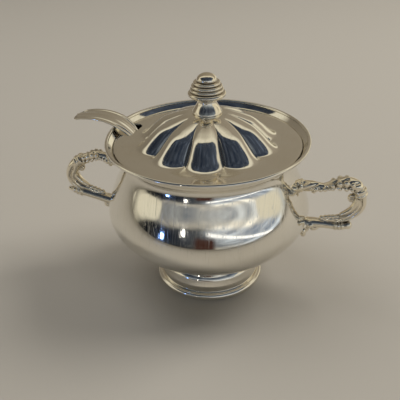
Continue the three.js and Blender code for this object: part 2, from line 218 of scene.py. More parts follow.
def along(values, t):
    """Values spread evenly along a bar, read at t."""
    return float(np.interp(t * (len(values) - 1), range(len(values)), values))


def offset_line(line, wall):
    """A line that runs up the outside, moved towards the axis by a wall, bottom first."""
    ahead = np.vstack([line[1:], line[-1:]])
    behind = np.vstack([line[:1], line[:-1]])
    way = ahead - behind
    way /= np.linalg.norm(way, axis=1, keepdims=True)
    return line + wall * np.stack([-way[:, 1], way[:, 0]], axis=1)


def net_faces(rings, sides, closed=True):
    """Quads between rings of points that follow one another, each with as many points as sides.
    In a closed net the last ring joins the first."""
    faces = []
    for k in range(rings if closed else rings - 1):
        n = (k + 1) % rings
        for i in range(sides):
            j = (i + 1) % sides
            faces.append((k * sides + i, n * sides + i, n * sides + j, k * sides + j))
    return faces


def bar_faces(steps, sides):
    """Faces of a bar of so many steps, with a flat cap at each end."""
    caps = [tuple(range(sides)), tuple(range(steps * sides, (steps + 1) * sides))[::-1]]
    return caps + net_faces(steps + 1, sides, closed=False)


def turned(profile, steps=TURN_STEPS):
    """Vertices and quads of a solid turned about Z from a closed (radius, height) profile."""
    profile = np.array(profile, float)
    verts = []
    for k in range(steps):
        a = 2 * math.pi * k / steps
        verts += [(r * math.cos(a), r * math.sin(a), z) for r, z in profile]
    return verts, net_faces(steps, len(profile))


def rounded(profile, radius, steps=4):
    """A closed profile with each corner replaced by a small curve."""
    p = np.array(profile, float)
    out = []
    for i, corner in enumerate(p):
        before, after = p[i - 1], p[(i + 1) % len(p)]
        room = 0.45 * min(np.linalg.norm(before - corner), np.linalg.norm(after - corner))
        r = min(radius, room)
        a, b = corner + r * unit(before - corner), corner + r * unit(after - corner)
        for t in np.linspace(0, 1, steps + 1):
            out.append((1 - t) ** 2 * a + 2 * t * (1 - t) * corner + t**2 * b)
    return np.array(out)


def make_mesh(name, parts):
    """One mesh from (vertices in mm, faces) parts, with hard edges kept crisp."""
    verts, faces = [], []
    for part_verts, part_faces in parts:
        base = len(verts)
        verts += [tuple(MM * c for c in v) for v in part_verts]
        faces += [tuple(base + i for i in f) for f in part_faces]
    mesh = bpy.data.meshes.new(name)
    mesh.from_pydata(verts, [], faces)
    tidy_mesh(mesh)
    return mesh


def tidy_mesh(mesh, sharp=SHARP_ANGLE):
    """Doubled points are joined and faces turned outwards, and edges that bend more than the sharp
    angle stay hard."""
    bm = bmesh.new()
    bm.from_mesh(mesh)
    bmesh.ops.remove_doubles(bm, verts=bm.verts, dist=1e-6)
    bmesh.ops.dissolve_degenerate(bm, edges=bm.edges, dist=1e-7)
    bmesh.ops.recalc_face_normals(bm, faces=bm.faces)
    for edge in bm.edges:
        edge.smooth = len(edge.link_faces) == 2 and edge.calc_face_angle(0) < sharp
    for face in bm.faces:
        face.smooth = True
    bm.to_mesh(mesh)
    bm.free()


def new_object(name, data):
    obj = bpy.data.objects.new(name, data)
    scene.collection.objects.link(obj)
    return obj


def add_piece(name, mesh, material, body, slot, *nodes):
    """A piece of the visual model, which rides on a body and stands for CAD nodes."""
    obj = new_object(name, mesh)
    mesh.materials.clear()
    mesh.materials.append(material)
    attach(obj, body)
    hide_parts(*nodes)


def with_modifiers(obj):
    """The mesh of an object with its modifiers applied; the object itself is removed."""
    bpy.context.view_layer.update()
    graph = bpy.context.evaluated_depsgraph_get()
    mesh = bpy.data.meshes.new_from_object(obj.evaluated_get(graph))
    bpy.data.objects.remove(obj)
    return mesh


def cut(mesh, cutter_mesh):
    """A mesh less another one."""
    body = new_object("cut_body", mesh)
    tool = new_object("cut_tool", cutter_mesh)
    step = body.modifiers.new("cut", "BOOLEAN")
    step.operation = "DIFFERENCE"
    step.solver = "EXACT"
    step.object = tool
    result = with_modifiers(body)
    bpy.data.objects.remove(tool)
    tidy_mesh(result)
    return result


# Materials. Depths and heights are in metres. A mark runs where its noise is this near 0.5.

MARK_NEARNESS = 0.006
MARK_COLOR = (0.55, 0.52, 0.47, 1)
MARK_DEPTH = 0.0000012
RING_HEIGHT = 0.0000006
PIT_HEIGHT = 0.00002
WAVE_HEIGHT = 0.00008
BRASS_GRAIN_HEIGHT = 0.00000001


class Nodes:
    """Short calls for building a node tree."""

    def __init__(self, tree):
        self.tree = tree
        self.tree.nodes.clear()

    def add(self, kind, inputs=None, **settings):
        """A node with its settings; each input is given a value or joined to a socket."""
        node = self.tree.nodes.new(kind)
        for key, value in settings.items():
            setattr(node, key, value)
        for key, value in (inputs or {}).items():
            socket = node.inputs[key]
            if isinstance(value, bpy.types.NodeSocket):
                self.tree.links.new(value, socket)
            else:
                socket.default_value = value
        return node

    def math(self, operation, a, b=0.0, c=0.0, limit=False):
        node = self.add("ShaderNodeMath", {0: a, 1: b, 2: c}, operation=operation, use_clamp=limit)
        return node.outputs[0]

    def mix(self, share, a, b, kind="RGBA", blend="MIX"):
        node = self.add("ShaderNodeMix", data_type=kind, clamp_factor=True)
        if kind == "RGBA":
            node.blend_type = blend
        sockets = {"FLOAT": (0, 2, 3), "RGBA": (0, 6, 7)}[kind]
        for index, value in zip(sockets, (share, a, b)):
            if isinstance(value, bpy.types.NodeSocket):
                self.tree.links.new(value, node.inputs[index])
            else:
                node.inputs[index].default_value = value
        return node.outputs[{"FLOAT": 0, "RGBA": 2}[kind]]

    def ramp(self, value, stops):
        """A colour for a value, from (place, colour) stops; a single number stands for a grey."""
        node = self.add("ShaderNodeValToRGB", {0: value})
        band = node.color_ramp
        while len(band.elements) > 1:
            band.elements.remove(band.elements[-1])
        for i, (place, color) in enumerate(stops):
            stop = band.elements[0] if i == 0 else band.elements.new(place)
            stop.position = place
            stop.color = (*color, 1) if isinstance(color, tuple) else (color, color, color, 1)
        return node.outputs[0]

    def noise(self, vector, scale=1.0, detail=2.0, roughness=0.5):
        return self.add("ShaderNodeTexNoise", {
            "Vector": vector, "Scale": scale, "Detail": detail, "Roughness": roughness,
        }).outputs["Fac"]

    def scaled(self, vector, scale, rotation=(0, 0, 0)):
        return self.add("ShaderNodeMapping", {
            "Vector": vector, "Scale": scale, "Rotation": rotation,
        }).outputs[0]

    def between(self, value, low, high):
        """How far a value is from low, 0, to high, 1."""
        ends = {"Value": value, "From Min": low, "From Max": high}
        return self.add("ShaderNodeMapRange", ends).outputs[0]

    def metal(self, color, rough, height):
        """The shader of a metal whose surface is raised by a height in metres."""
        bump = self.add("ShaderNodeBump", {"Height": height, "Strength": 1.0, "Distance": 1.0})
        shader = self.add("ShaderNodeBsdfPrincipled", {
            "Base Color": color, "Metallic": 1.0, "Roughness": rough, "Normal": bump.outputs[0],
        })
        self.add("ShaderNodeOutputMaterial", {"Surface": shader.outputs[0]})


def new_material(name):
    """A material and the short calls for its nodes."""
    material = bpy.data.materials.new(name)
    material.use_nodes = True
    return material, Nodes(material.node_tree)


def scratches(nodes, vector, count, scale, seed):
    """Thin straight marks that run in several directions: 1 on a mark and 0 off it."""
    total = None
    for k in range(count):
        turn = (seed + 0.9 * k, 1.7 * seed + 0.6 * k, 2.3 * seed + 1.1 * k)
        drawn_out = nodes.scaled(vector, (scale, 0.05 * scale, 0.05 * scale), turn)
        lines = nodes.noise(drawn_out, detail=1.0, roughness=0.4)
        off = nodes.math("ABSOLUTE", nodes.math("SUBTRACT", lines, 0.5))
        mark = nodes.math("LESS_THAN", off, MARK_NEARNESS)
        total = mark if total is None else nodes.math("MAXIMUM", total, mark)
    return total


def silver(name, clean, toned, tarnish_and_shade_color, roughness, recess_depth, tarnish_and_shade_strength, spun):
    """Silver plate: a warm tone that drifts, tarnish and painted shade darkening recesses of about a
    depth in metres by a given strength, wiping marks, and on spun pieces fine rings round the axis."""
    material, nodes = new_material(name)
    place = nodes.add("ShaderNodeTexCoord").outputs["Object"]
    drift = nodes.noise(place, 38.0, detail=3.0, roughness=0.55)
    clouds = nodes.noise(place, 190.0, detail=4.0, roughness=0.6)
    smear = nodes.noise(nodes.scaled(place, (60, 60, 160)), detail=3.0, roughness=0.6)
    waves = nodes.noise(place, 55.0, detail=1.0, roughness=0.4)
    marks = scratches(nodes, place, count=3, scale=420.0, seed=0.4)

    # Recess darkening from ambient occlusion: partly real tarnish, partly painted shade.
    hollow = nodes.add("ShaderNodeAmbientOcclusion", {"Distance": recess_depth},
                       samples=6, only_local=True).outputs["AO"]
    recess = nodes.math("POWER", nodes.math("SUBTRACT", 1.0, hollow, limit=True), 1.3)
    spread = nodes.math("MULTIPLY_ADD", clouds, 1.5, -0.05, limit=True)
    tarnish_and_shade = nodes.math("MULTIPLY", nodes.math("MULTIPLY", recess, tarnish_and_shade_strength, limit=True), spread)

    color = nodes.mix(nodes.math("MULTIPLY_ADD", drift, 1.8, -0.4, limit=True), clean, toned)
    color = nodes.mix(tarnish_and_shade, color, tarnish_and_shade_color)
    color = nodes.mix(nodes.math("MULTIPLY", marks, 0.12), color, MARK_COLOR)

    rough = nodes.math("MULTIPLY_ADD", smear, 0.10, roughness - 0.05)
    rough = nodes.math("MULTIPLY_ADD", marks, 0.12, rough)
    rough = nodes.math("MULTIPLY_ADD", tarnish_and_shade, 0.35, rough, limit=True)

    height = nodes.math("MULTIPLY", waves, WAVE_HEIGHT)
    if spun:
        split = nodes.add("ShaderNodeSeparateXYZ", {0: place})
        squares = [nodes.math("POWER", split.outputs[axis], 2.0) for axis in (0, 1)]
        radius = nodes.math("SQRT", nodes.math("ADD", *squares))
        rings = nodes.add("ShaderNodeCombineXYZ", {0: radius, 1: 0.0, 2: split.outputs[2]}).outputs[0]
        grain = nodes.noise(nodes.scaled(rings, (2600, 1, 2600)), detail=2.0, roughness=0.6)
        height = nodes.math("MULTIPLY_ADD", grain, RING_HEIGHT, height)
    else:
        pits = nodes.noise(place, 900.0, detail=3.0, roughness=0.6)
        height = nodes.math("MULTIPLY_ADD", pits, PIT_HEIGHT, height)
    height = nodes.math("MULTIPLY_ADD", marks, -MARK_DEPTH, height)
    nodes.metal(color, rough, height)
    return material


def brass(name):
    """Unplated brass of the fixing: turned, dull, browner in patches."""
    material, nodes = new_material(name)
    place = nodes.add("ShaderNodeTexCoord").outputs["Object"]
    patches = nodes.noise(place, 260.0, detail=4.0, roughness=0.6)
    color = nodes.mix(patches, (0.56, 0.43, 0.17, 1), (0.30, 0.20, 0.09, 1))
    grain = nodes.noise(nodes.scaled(place, (300, 300, 4000)))
    rough = nodes.math("MULTIPLY_ADD", grain, 0.25, 0.22)
    nodes.metal(color, rough, nodes.math("MULTIPLY", grain, BRASS_GRAIN_HEIGHT))
    return material


spun_plate = silver(
    "spun_silver", clean=(0.91, 0.89, 0.83, 1), toned=(0.86, 0.82, 0.73, 1),
    tarnish_and_shade_color=(0.20, 0.14, 0.09, 1), roughness=0.06, recess_depth=0.0022, tarnish_and_shade_strength=1.1, spun=True)
# The castings' recesses go near black: partly tarnish, partly painted shade.
cast_plate = silver(
    "cast_silver", clean=(0.97, 0.91, 0.77, 1), toned=(0.93, 0.85, 0.69, 1),
    tarnish_and_shade_color=(0.045, 0.028, 0.015, 1), roughness=0.13, recess_depth=0.0040, tarnish_and_shade_strength=3.0, spun=False)
turned_plate = silver(
    "turned_silver", clean=(0.94, 0.89, 0.78, 1), toned=(0.88, 0.81, 0.68, 1),
    tarnish_and_shade_color=(0.10, 0.07, 0.045, 1), roughness=0.11, recess_depth=0.0022, tarnish_and_shade_strength=1.2, spun=False)
fixing_brass = brass("fixing_brass")


# Bowl and rim wire

base = np.array([FOOT_NECK_RADIUS, BOWL_BASE_HEIGHT], float)
belly = np.array([BELLY_RADIUS, BELLY_HEIGHT], float)
neck = np.array([NECK_RADIUS, NECK_HEIGHT], float)
lip = np.array([LIP_RADIUS, LIP_HEIGHT], float)
flare = lip - neck
shoulder = neck[1] - belly[1]
bowl_outer = np.vstack([
    bezier([base, (lerp(base[0], belly[0], UNDER_REACH), base[1]),
            (belly[0], lerp(base[1], belly[1], UNDER_RISE)), belly], CURVE_STEPS),
    bezier([belly, (belly[0], belly[1] + SHOULDER_RISE * shoulder),
            (neck[0], neck[1] - SHOULDER_DROP * shoulder), neck], CURVE_STEPS)[1:],
    bezier([neck, (neck[0], neck[1] + THROAT_RISE * flare[1]),
            (lip[0] - THROAT_INSET * flare[0], lip[1] - THROAT_DROP * flare[1]), lip], THROAT_STEPS)[1:],
])
bowl_inner = offset_line(bowl_outer, BOWL_WALL)
bowl_floor = BOWL_BASE_HEIGHT + BOWL_WALL


def bowl_radius(height):
    """Radius of the bowl's outside at a height."""
    return float(np.interp(height, bowl_outer[:, 1], bowl_outer[:, 0]))


lip_way = unit(bowl_outer[-1] - bowl_outer[-2])
lip_edge = (bowl_outer[-1] + bowl_inner[-1]) / 2
rim = lip_edge + lip_way * (RIM_WIRE_RADIUS + GAP)


def make_bowl():
    """The spun shell, its sheet run a little way into the rim wire."""
    seam = LIP_SEAM * lip_way
    outer = np.vstack([bowl_outer, bowl_outer[-1] + seam])
    inner = np.vstack([bowl_inner[1:], bowl_inner[-1] + seam])[::-1]
    profile = [(0, BOWL_BASE_HEIGHT), *outer, *inner, (FOOT_NECK_RADIUS, bowl_floor), (0, bowl_floor)]
    mesh = make_mesh("bowl_shell", [turned(profile)])
    add_piece("bowl_shell", mesh, spun_plate, "pot", "spun_plate", "bowl")


def make_rim_wire():
    angles = np.linspace(0, 2 * math.pi, WIRE_SIDES, endpoint=False)
    ring = [(rim[0] + RIM_WIRE_RADIUS * math.cos(a), rim[1] + RIM_WIRE_RADIUS * math.sin(a))
            for a in angles]
    mesh = make_mesh("rim_bead", [turned(ring, WIRE_TURN_STEPS)])
    add_piece("rim_bead", mesh, spun_plate, "pot", "spun_plate", "rim_wire")


# Foot

def make_foot():
    """The stem: a straight body with a rounded top, a shelf, and a waist that rises to the bowl."""
    top = BOWL_BASE_HEIGHT
    bottom = 2 * FOOT_RING_WIRE - FOOT_SEAM
    low = 2 * FOOT_RING_WIRE + GAP
    body_top, shelf_height, waist_height = (
        lerp(low, top - GAP, share) for share in (FOOT_BODY_TOP, FOOT_SHELF, FOOT_WAIST))
    shelf = FOOT_BODY_RADIUS - FOOT_STEP
    waist = bezier([(shelf, shelf_height), (shelf, waist_height), (FOOT_NECK_RADIUS, waist_height),
                    (FOOT_NECK_RADIUS, top)], WAIST_STEPS)
    corners = rounded([(FOOT_BODY_RADIUS, bottom), (FOOT_BODY_RADIUS, body_top), (shelf, shelf_height),
                       (shelf - 4 * FOOT_STEP, waist_height)], FOOT_STEP_ROUND, CORNER_STEPS)
    step = corners[CORNER_STEPS + 1:2 * CORNER_STEPS]
    outer = np.vstack([[(FOOT_BODY_RADIUS, bottom)], step, waist[1:]])
    inner = offset_line(outer, FOOT_WALL)[::-1]
    inner[0][1], inner[-1][1] = top, bottom
    mesh = make_mesh("foot_stem", [turned([*outer, *inner])])
    add_piece("foot_stem", mesh, spun_plate, "pot", "spun_plate", "foot")


def make_foot_ring():
    """A heavy ring with a narrow flat under it."""
    half = FOOT_RING_FLAT / 2
    corner = math.asin(half / FOOT_RING_WIRE)
    angles = np.linspace(corner - math.pi / 2, 1.5 * math.pi - corner, CURVE_STEPS)
    ring = [(FOOT_RING_RADIUS + FOOT_RING_WIRE * math.cos(a),
             max(FOOT_RING_WIRE + FOOT_RING_WIRE * math.sin(a), 0)) for a in angles]
    ring[0] = (FOOT_RING_RADIUS + half, 0)
    ring[-1] = (FOOT_RING_RADIUS - half, 0)
    mesh = make_mesh("foot_bead", [turned(ring)])
    add_piece("foot_bead", mesh, spun_plate, "pot", "spun_plate", "foot_ring")


make_bowl()
make_rim_wire()
make_foot()
make_foot_ring()


# Lid

lid_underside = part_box("lid_cover")[0][2] / MM
lid_border = lid_underside + LID_SHEET
lid_top = lid_border + LID_RISE
lobe_start = FINIAL_BASE_RADIUS + 1
stud_hole = STUD_RADIUS + GAP
LOBE_FULLNESS = 0.7
UNDERSIDE_INSET = 0.8 * LID_SHEET
BORDER_RADII = (LID_RADIUS - 2, LOBE_RADIUS + 1)
RIDGE_LINE = [(0, 1), (0.1, 0.98), (0.24, 0.9), (0.4, 0.78), (0.55, 0.64),
              (0.7, 0.41), (0.85, 0.14), (0.94, 0.02), (1, 0)]
CREASE_LINE = [(0, 1), (0.1, 0.97), (0.24, 0.88), (0.4, 0.755), (0.55, 0.6),
               (0.7, 0.375), (0.84, 0.14), (0.94, 0.03), (1, 0)]


def fluted(t, angle):
    """(radius, height) of the fluted dome, t of the way down."""
    swell = abs(math.cos(0.5 * LOBES * (angle - LADLE_ANGLE)))
    down, crease = eased(RIDGE_LINE, t), eased(CREASE_LINE, t)
    end = lerp(LOBE_VALLEY_RADIUS, LOBE_RADIUS, swell**LOBE_FULLNESS)
    return lerp(lobe_start, end, down[0]), lid_border + LID_RISE * lerp(crease[1], down[1], swell)


def notch_cutter():
    """What the ladle's notch takes out of the lid and its bezel: a slot with round inner corners,
    open outwards."""
    half = LADLE_BLADE_WIDTH / 2 + NOTCH_CLEARANCE
    inner = LID_RADIUS - NOTCH_DEPTH
    outer = LID_RADIUS + CUTTER_MARGIN
    plan = [(outer, -half), (outer, half)]
    middle = inner + NOTCH_CORNER
    for level, start in ((half - NOTCH_CORNER, 0.5 * math.pi), (NOTCH_CORNER - half, math.pi)):
        plan += [(middle + NOTCH_CORNER * math.cos(a), level + NOTCH_CORNER * math.sin(a))
                 for a in np.linspace(start, start + 0.5 * math.pi, NOTCH_CORNER_POINTS)]
    c, s = math.cos(LADLE_ANGLE), math.sin(LADLE_ANGLE)
    plan = [(x * c - y * s, x * s + y * c) for x, y in plan]
    low, high = lid_border - BEZEL_DEPTH - LID_RISE, lid_border + CUTTER_MARGIN
    n = len(plan)
    verts = [(x, y, low) for x, y in plan] + [(x, y, high) for x, y in plan]
    faces = [tuple(range(n))[::-1], tuple(range(n, 2 * n))]
    faces += [(i, (i + 1) % n, n + (i + 1) % n, n + i) for i in range(n)]
    return make_mesh("notch_cutter", [(verts, faces)])


def make_lid():
    """The cover as one closed sheet, a column of points at each angle, with the notch cut out."""
    turns = LOBES * LOBE_STEPS
    edge = LID_EDGE_ROUND

    def column(angle):
        under = [fluted(t, angle) for t in np.linspace(0, 1, DOME_INSIDE_POINTS)]
        over = [fluted(t, angle) for t in np.linspace(1, 0, DOME_POINTS)]
        return [
            (stud_hole, lid_top - LID_SHEET),
            *[(r - UNDERSIDE_INSET, z - LID_SHEET) for r, z in under],
            (LID_RADIUS - edge, lid_underside),
            (LID_RADIUS, lid_underside + edge), (LID_RADIUS, lid_border - edge),
            (LID_RADIUS - 0.3 * edge, lid_border - 0.3 * edge), (LID_RADIUS - edge, lid_border),
            *[(r, lid_border) for r in np.linspace(*BORDER_RADII, 6)],
            *over, (stud_hole, lid_top),
        ]

    verts = []
    for k in range(turns):
        a = LADLE_ANGLE + 2 * math.pi * k / turns
        verts += [(r * math.cos(a), r * math.sin(a), z) for r, z in column(a)]
    faces = net_faces(turns, len(verts) // turns)
    cover = cut(make_mesh("lid_sheet", [(verts, faces)]), notch_cutter())
    add_piece("lid_sheet", cover, spun_plate, "lid", "spun_plate", "lid_cover")


def make_bezel():
    """The hoop under the lid's border that centres it in the neck, cut away at the notch."""
    outer = NECK_RADIUS - BOWL_WALL - BEZEL_CLEARANCE
    top = lid_underside
    low = top - GAP - BEZEL_DEPTH
    profile = rounded([(outer, low), (outer, top), (outer - BEZEL_WALL, top), (outer - BEZEL_WALL, low)],
                      BEZEL_EDGE_ROUND)
    hoop = cut(make_mesh("bezel_hoop", [turned(profile)]), notch_cutter())
    add_piece("bezel_hoop", hoop, spun_plate, "lid", "spun_plate", "lid_bezel")


make_lid()
make_bezel()


# Finial

washer_top = lid_top - LID_SHEET - GAP
nut_top = washer_top - WASHER_THICKNESS - GAP
STUD_CHAMFER = 0.4

# Places on the finial, in shares of its radius and height
BELL_SPOTS = [(0.785, 0.03), (0.71, 0.1), (0.56, 0.215), (0.49, 0.31), (0.54, 0.37)]
DISC_SPOTS = [(0.54, 0.37), (0.75, 0.395), (0.93, 0.435), (1, 0.49), (0.95, 0.53), (0.81, 0.545)]
RING_RADII = (0.88, 0.58)
RING_HEIGHTS = (0.545, 0.8)
RING_BULGE = 0.07
CAP_RADIUS, CAP_LOW, CAP_RISE = 0.533, 0.825, 0.175
CAP_NECK = (0.48, 0.8)


def make_finial():
    """Stud, bell, disc, rings and domed cap, turned in one piece."""
    seat = lid_top

    def at(r, h):
        return FINIAL_RADIUS * r, seat + GAP + FINIAL_HEIGHT * h

    bell_line = [(FINIAL_BASE_RADIUS, seat + GAP), *(at(r, h) for r, h in BELL_SPOTS)]
    disc_line = [at(r, h) for r, h in DISC_SPOTS]
    bell = [eased(bell_line, t) for t in np.linspace(0, 1, 44)]
    disc = [through(disc_line, t) for t in np.linspace(0, 1, 30)][1:]
    rings = []
    for i in range(FINIAL_RINGS):
        share = i / FINIAL_RINGS
        radius = lerp(*RING_RADII, share**1.4)
        low, high = lerp(*RING_HEIGHTS, share), lerp(*RING_HEIGHTS, share + 1 / FINIAL_RINGS)
        middle, half = (low + high) / 2, (high - low) / 2
        for a in np.linspace(-0.45 * math.pi, 0.45 * math.pi, 11):
            rings.append(at(radius - RING_BULGE + RING_BULGE * math.cos(a),
                            middle + 0.98 * half * math.sin(a)))
    cap_angles = np.linspace(0, 0.5 * math.pi, 16)
    cap = [at(CAP_RADIUS * math.cos(a), CAP_LOW + CAP_RISE * math.sin(a)) for a in cap_angles]
    end = nut_top - NUT_THICKNESS - STUD_END
    profile = [(0, end), (STUD_RADIUS - STUD_CHAMFER, end), (STUD_RADIUS, end + STUD_CHAMFER),
               (STUD_RADIUS, seat), (FINIAL_BASE_RADIUS, seat), *bell, *disc, *rings, at(*CAP_NECK),
               *cap[:-1], (0, seat + GAP + FINIAL_HEIGHT)]
    mesh = make_mesh("finial_turning", [turned(profile, SMALL_TURN_STEPS)])
    add_piece("finial_turning", mesh, turned_plate, "lid", "cast_plate", "finial")


make_finial()
for node in ("finial_washer", "finial_nut"):
    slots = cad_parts[node].data.materials
    slots.clear()
    slots.append(fixing_brass)


# Handles

SIDE_LEVEL = 0.3
handle_side = bowl_radius(lerp(HANDLE_BAR_HEIGHT, HANDLE_CREST_HEIGHT, SIDE_LEVEL))


def spot(u, v):
    """A place in the XZ plane, u of the way out from the bowl and v of the way up from bar to crest."""
    return (lerp(handle_side, HANDLE_REACH, u), lerp(HANDLE_BAR_HEIGHT, HANDLE_CREST_HEIGHT, v))


def on_bowl(v):
    """The place on the bowl's outside at a handle's height v."""
    return (bowl_radius(spot(0, v)[1]), spot(0, v)[1])


def in_bowl(v):
    """The same place, sunk into the bowl by two walls, where an arm starts."""
    return (on_bowl(v)[0] - 2 * BOWL_WALL, on_bowl(v)[1])


# Each handle's own lines, and how thick they are along the way, as shares of the arm's radius.
# The root is the height of the upper pad, and the lobes are places along the bar.
RIGHT_HANDLE = {
    "root": 0.76,
    "scroll": [
        in_bowl(0.78), spot(0.05, 0.8), spot(0.25, 0.81), spot(0.44, 0.9), spot(0.62, 0.93),
        spot(0.78, 0.88), spot(0.85, 0.76), spot(0.885, 0.62), spot(0.885, 0.48), spot(0.81, 0.33),
        spot(0.675, 0.2), spot(0.5, 0.13), spot(0.34, 0.11), spot(0.18, 0.07),
    ],
    "band": [spot(0.835, 0.82), spot(0.87, 0.71)],
    "strand": [spot(0.83, 0.66), spot(0.775, 0.47), spot(0.69, 0.35), spot(0.55, 0.24)],
    "curl": spot(0.725, 0.62),
    "bar": [in_bowl(-0.05), spot(0.06, 0), spot(0.3, 0.01), spot(0.52, 0), spot(0.7, 0.03)],
    "shares": [1.6, 1.3, 0.9, 1.15, 1.65, 1.55, 1.15, 1.15, 1.15, 1.1, 0.95, 0.75, 0.6, 0.45],
    "bar_shares": [1.6, 1.3, 1.1, 1.0, 0.9],
    "lobes": [0.12],
}
LEFT_HANDLE = {
    "root": 0.9,
    "scroll": [
        in_bowl(0.9), spot(0.04, 0.93), spot(0.18, 1), spot(0.32, 1.01), spot(0.46, 0.96),
        spot(0.6, 0.9), spot(0.71, 0.82), spot(0.8, 0.69), spot(0.86, 0.54), spot(0.84, 0.38),
        spot(0.74, 0.26), spot(0.56, 0.2), spot(0.38, 0.16), spot(0.2, 0.1),
    ],
    "band": [spot(0.6, 0.9), spot(0.71, 0.82)],
    "strand": [spot(0.8, 0.66), spot(0.765, 0.5), spot(0.68, 0.38), spot(0.54, 0.28)],
    "curl": spot(0.66, 0.69),
    "bar": [in_bowl(-0.05), spot(0.1, 0.01), spot(0.4, 0.08), spot(0.72, 0.15), spot(0.94, 0.17)],
    "shares": [1.3, 1.15, 1.05, 1.15, 1.1, 1.2, 1.5, 1.65, 1.6, 1.4, 1.1, 0.85, 0.65, 0.5],
    "bar_shares": [1.6, 1.3, 1.15, 1.15, 0.5],
    "lobes": [0.12, 0.22, 0.32],
}


# Carving. Leaf, beads and loops lie at shares of the way along a scroll, a band or a bar.
LEAF_PLACE = (0.21, 0.35)
LEAF_PAIRS = 4
UPPER_BEADS = (0.1, 0.22)
LOWER_BEADS = (0.84, 0.97)
ROOT_BEAD = 0.085
BAND_LOOPS = ((0.12, 1.0), (0.5, 0.93), (0.88, 1.0))
BAR_LOOPS = (0.72, 0.8, 0.88)
LOOP_WIDTH = 1.15
CURL_TURNS = 1.3
CURL_START = 0.6
CURL_SHARES = (0.55, 0.35)
STRAND_SHARES = (0.95, 0.8, 0.65, 0.4)

# Relief of the scroll: depths in shares of its radius, widths in shares of its half height
RIB_COUNT = 15
RIB_SLANT = 0.7
RIB_DEPTH = 0.32
SPINE_WIDTH = 0.06
FLANK_WIDTH = 0.28
FLANK_DEPTH = 0.36

# Height of the lower pad, as a share of the way up from bar to crest
LOWER_PAD = -0.08


def arm(spots, shares, width, steps, sides=20, relief=None):
    """A bar along spots in the XZ plane. relief(t, up) is the share of its radius that is left
    at a place on it, up being 1 on its outer side and -1 on its inner side."""
    verts = []
    for k in range(steps + 1):
        t = k / steps
        way = unit(heading(spots, t, 0.5 / steps))
        centre = through(spots, t)
        for j in range(sides):
            a = 2 * math.pi * j / sides
            up, side = math.cos(a), math.sin(a)
            radius = HANDLE_ARM_RADIUS * along(shares, t) * (relief(t, up) if relief else 1)
            verts.append((centre[0] - way[1] * up * radius, width * radius * side,
                          centre[1] + way[0] * up * radius))
    return verts, bar_faces(steps, sides)


def over_arm(spots, shares, t, share):
    """A place above the middle of an arm by a share of its own radius, or below it."""
    x, z = through(spots, t)
    return x, z + share * HANDLE_ARM_RADIUS * along(shares, t)


def ball(radius, spot_xz, y=0.0, scale=(1, 1, 1), turn=0.0):
    """An ellipsoid at a place in the XZ plane and off it by y, turned in that plane."""
    rows, sides = 10, 16
    c, s = math.cos(turn), math.sin(turn)
    verts = []
    for i in range(rows + 1):
        polar = math.pi * i / rows
        for j in range(sides):
            a = 2 * math.pi * j / sides
            x = radius * scale[0] * math.sin(polar) * math.cos(a)
            depth = radius * scale[1] * math.sin(polar) * math.sin(a)
            z = radius * scale[2] * math.cos(polar)
            verts.append((spot_xz[0] + x * c - z * s, y + depth, spot_xz[1] + x * s + z * c))
    return verts, net_faces(rows + 1, sides, closed=False)


def loop(centre, way, ring_radius, wire):
    """A ring round an arm at a place in the XZ plane, across its way."""
    way = unit(np.array(way, float))
    across, up = np.array([0, 1, 0]), np.array([-way[1], 0, way[0]])
    forward = np.array([way[0], 0, way[1]])
    middle = np.array([centre[0], 0, centre[1]])
    around, section = 28, 10
    verts = []
    for i in range(around):
        a = 2 * math.pi * i / around
        out = math.cos(a) * up + LOOP_WIDTH * math.sin(a) * across
        for j in range(section):
            b = 2 * math.pi * j / section
            p = middle + out * (ring_radius + wire * math.cos(b)) + forward * wire * math.sin(b)
            verts.append(tuple(p))
    return verts, net_faces(around, section)


def spiral(centre, radius):
    """A curl in the XZ plane that tightens towards its middle."""
    steps = 30
    line = []
    for k in range(steps + 1):
        t = k / steps
        a = 2 * math.pi * CURL_TURNS * t + CURL_START
        r = radius * (1.1 - 0.8 * t)
        line.append((centre[0] + r * math.cos(a), centre[1] + r * math.sin(a)))
    shares = [share * radius / HANDLE_ARM_RADIUS for share in CURL_SHARES]
    return arm(line, shares, width=1.5, steps=40, sides=12)


def leaf(scroll, shares):
    """An acanthus leaf over the crest: lobes in pairs that curl down its sides."""
    parts = []
    for i in range(LEAF_PAIRS):
        share = i / (LEAF_PAIRS - 1)
        t = lerp(*LEAF_PLACE, share)
        place = over_arm(scroll, shares, t, 0.25)
        way = heading(scroll, t)
        turn = math.atan2(way[1], way[0])
        size = HANDLE_ARM_RADIUS * lerp(1.0, 1.3, math.sin(math.pi * i / (LEAF_PAIRS - 1)))
        for side in (-1, 1):
            parts.append(ball(size, place, y=side * 1.45 * HANDLE_ARM_RADIUS,
                              scale=(0.6, 0.5, 0.72), turn=turn + 0.5))
            low = over_arm(scroll, shares, t, -0.55)
            parts.append(ball(0.6 * size, low, y=side * 1.65 * HANDLE_ARM_RADIUS,
                              scale=(0.6, 0.6, 0.9), turn=turn + 0.8))
    return parts


def root_leaf(spot_xz, size, down):
    """A cluster of leaf lobes where an arm leaves the bowl: a fan on the bowl, and two pairs
    that run out along the arm."""
    x, z = spot_xz
    parts = []
    for degrees in range(-75, 76, 25):
        a = math.radians(degrees) + (math.pi if down else 0)
        place = (x + 0.1 * size, z + size * math.cos(a))
        parts.append(ball(0.42 * size, place, y=1.1 * size * math.sin(a), scale=(0.8, 0.75, 1.1)))
    for k, (out, lift) in enumerate(((0.75, 0.35), (1.35, 0.1))):
        place = (x + out * size, z + lift * size)
        for side in (-1, 1):
            parts.append(ball(0.5 * size, place, y=side * (0.62 - 0.12 * k) * size,
                              scale=(1.1, 0.6, 0.7), turn=0.4))
    return parts


